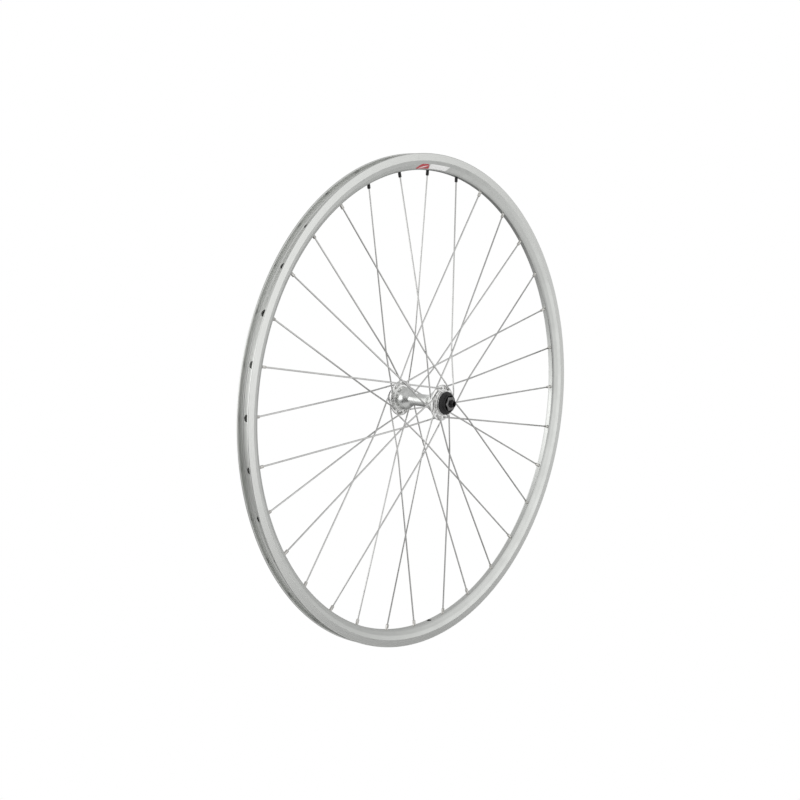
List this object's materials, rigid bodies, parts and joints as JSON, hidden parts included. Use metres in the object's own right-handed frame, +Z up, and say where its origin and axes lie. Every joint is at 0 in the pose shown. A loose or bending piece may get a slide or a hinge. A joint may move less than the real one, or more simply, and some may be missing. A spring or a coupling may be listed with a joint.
{
  "type": "bicycle front wheel",
  "caption": "Spoked bicycle front wheel with a double-wall rim, a cup-and-cone hub and a hollow axle for a quick-release skewer.",
  "frame": {"origin": "the wheel centre, on the axle and midway between the locknut faces", "axes": "+Y along the axle towards the left end, +Z up, +X the way the bicycle rolls"},
  "size_m": [0.634, 0.108, 0.634],
  "materials": {
    "rim_alloy": "satin silver anodised, with a flat brake track machined on each side",
    "sleeve_alloy": "plain mill finish",
    "label_film": "printed film, red block and off-white block with no lettering",
    "hub_alloy": "polished bright",
    "spoke_steel": "drawn stainless wire",
    "nipple_nickel": "nickel-plated brass",
    "nipple_black": "black-plated brass",
    "bearing_steel": "ground and hardened",
    "cap_steel": "bright plated pressing",
    "black_steel": "black oxide",
    "locknut_steel": "dark zinc, machined chamfer",
    "rubber": "matte black moulded rubber"
  },
  "bodies": {
    "axle_set": {"axle": "black_steel", "cone_right": "bearing_steel", "spacer_right": "black_steel", "locknut_right": "locknut_steel", "seal_boot_right": "rubber", "cone_left": "bearing_steel", "spacer_left": "black_steel", "locknut_left": "locknut_steel", "seal_boot_left": "rubber"},
    "wheel": {"rim": "rim_alloy", "rim_joint_sleeve": "sleeve_alloy", "rim_label": "label_film", "hub_shell": "hub_alloy", "bearing_cup_right": "bearing_steel", "dust_cap_right": "cap_steel", "bearing_cup_left": "bearing_steel", "dust_cap_left": "cap_steel", "spoke_01": "spoke_steel", "spoke_02": "spoke_steel", "spoke_03": "spoke_steel", "spoke_04": "spoke_steel", "spoke_05": "spoke_steel", "spoke_06": "spoke_steel", "spoke_07": "spoke_steel", "spoke_08": "spoke_steel", "spoke_09": "spoke_steel", "spoke_10": "spoke_steel", "spoke_11": "spoke_steel", "spoke_12": "spoke_steel", "spoke_13": "spoke_steel", "spoke_14": "spoke_steel", "spoke_15": "spoke_steel", "spoke_16": "spoke_steel", "spoke_17": "spoke_steel", "spoke_18": "spoke_steel", "spoke_19": "spoke_steel", "spoke_20": "spoke_steel", "spoke_21": "spoke_steel", "spoke_22": "spoke_steel", "spoke_23": "spoke_steel", "spoke_24": "spoke_steel", "spoke_25": "spoke_steel", "spoke_26": "spoke_steel", "spoke_27": "spoke_steel", "spoke_28": "spoke_steel", "spoke_29": "spoke_steel", "spoke_30": "spoke_steel", "spoke_31": "spoke_steel", "spoke_32": "spoke_steel"},
    "balls_right": {"ball_ring_right": "bearing_steel"},
    "balls_left": {"ball_ring_left": "bearing_steel"}
  },
  "joints": [
    {"name": "wheel_spin", "type": "hinge", "parent": "axle_set", "child": "wheel", "pos_m": [0, 0, 0], "axis": [0, 1, 0], "continuous": true},
    {"name": "balls_right_spin", "type": "hinge", "parent": "axle_set", "child": "balls_right", "pos_m": [0, -0.034, 0], "axis": [0, 1, 0], "continuous": true},
    {"name": "balls_left_spin", "type": "hinge", "parent": "axle_set", "child": "balls_left", "pos_m": [0, 0.034, 0], "axis": [0, 1, 0], "continuous": true}
  ],
  "couplings": [
    {"joint": "balls_right_spin", "follows": "wheel_spin", "ratio": 0.586},
    {"joint": "balls_left_spin", "follows": "wheel_spin", "ratio": 0.586}
  ]
}
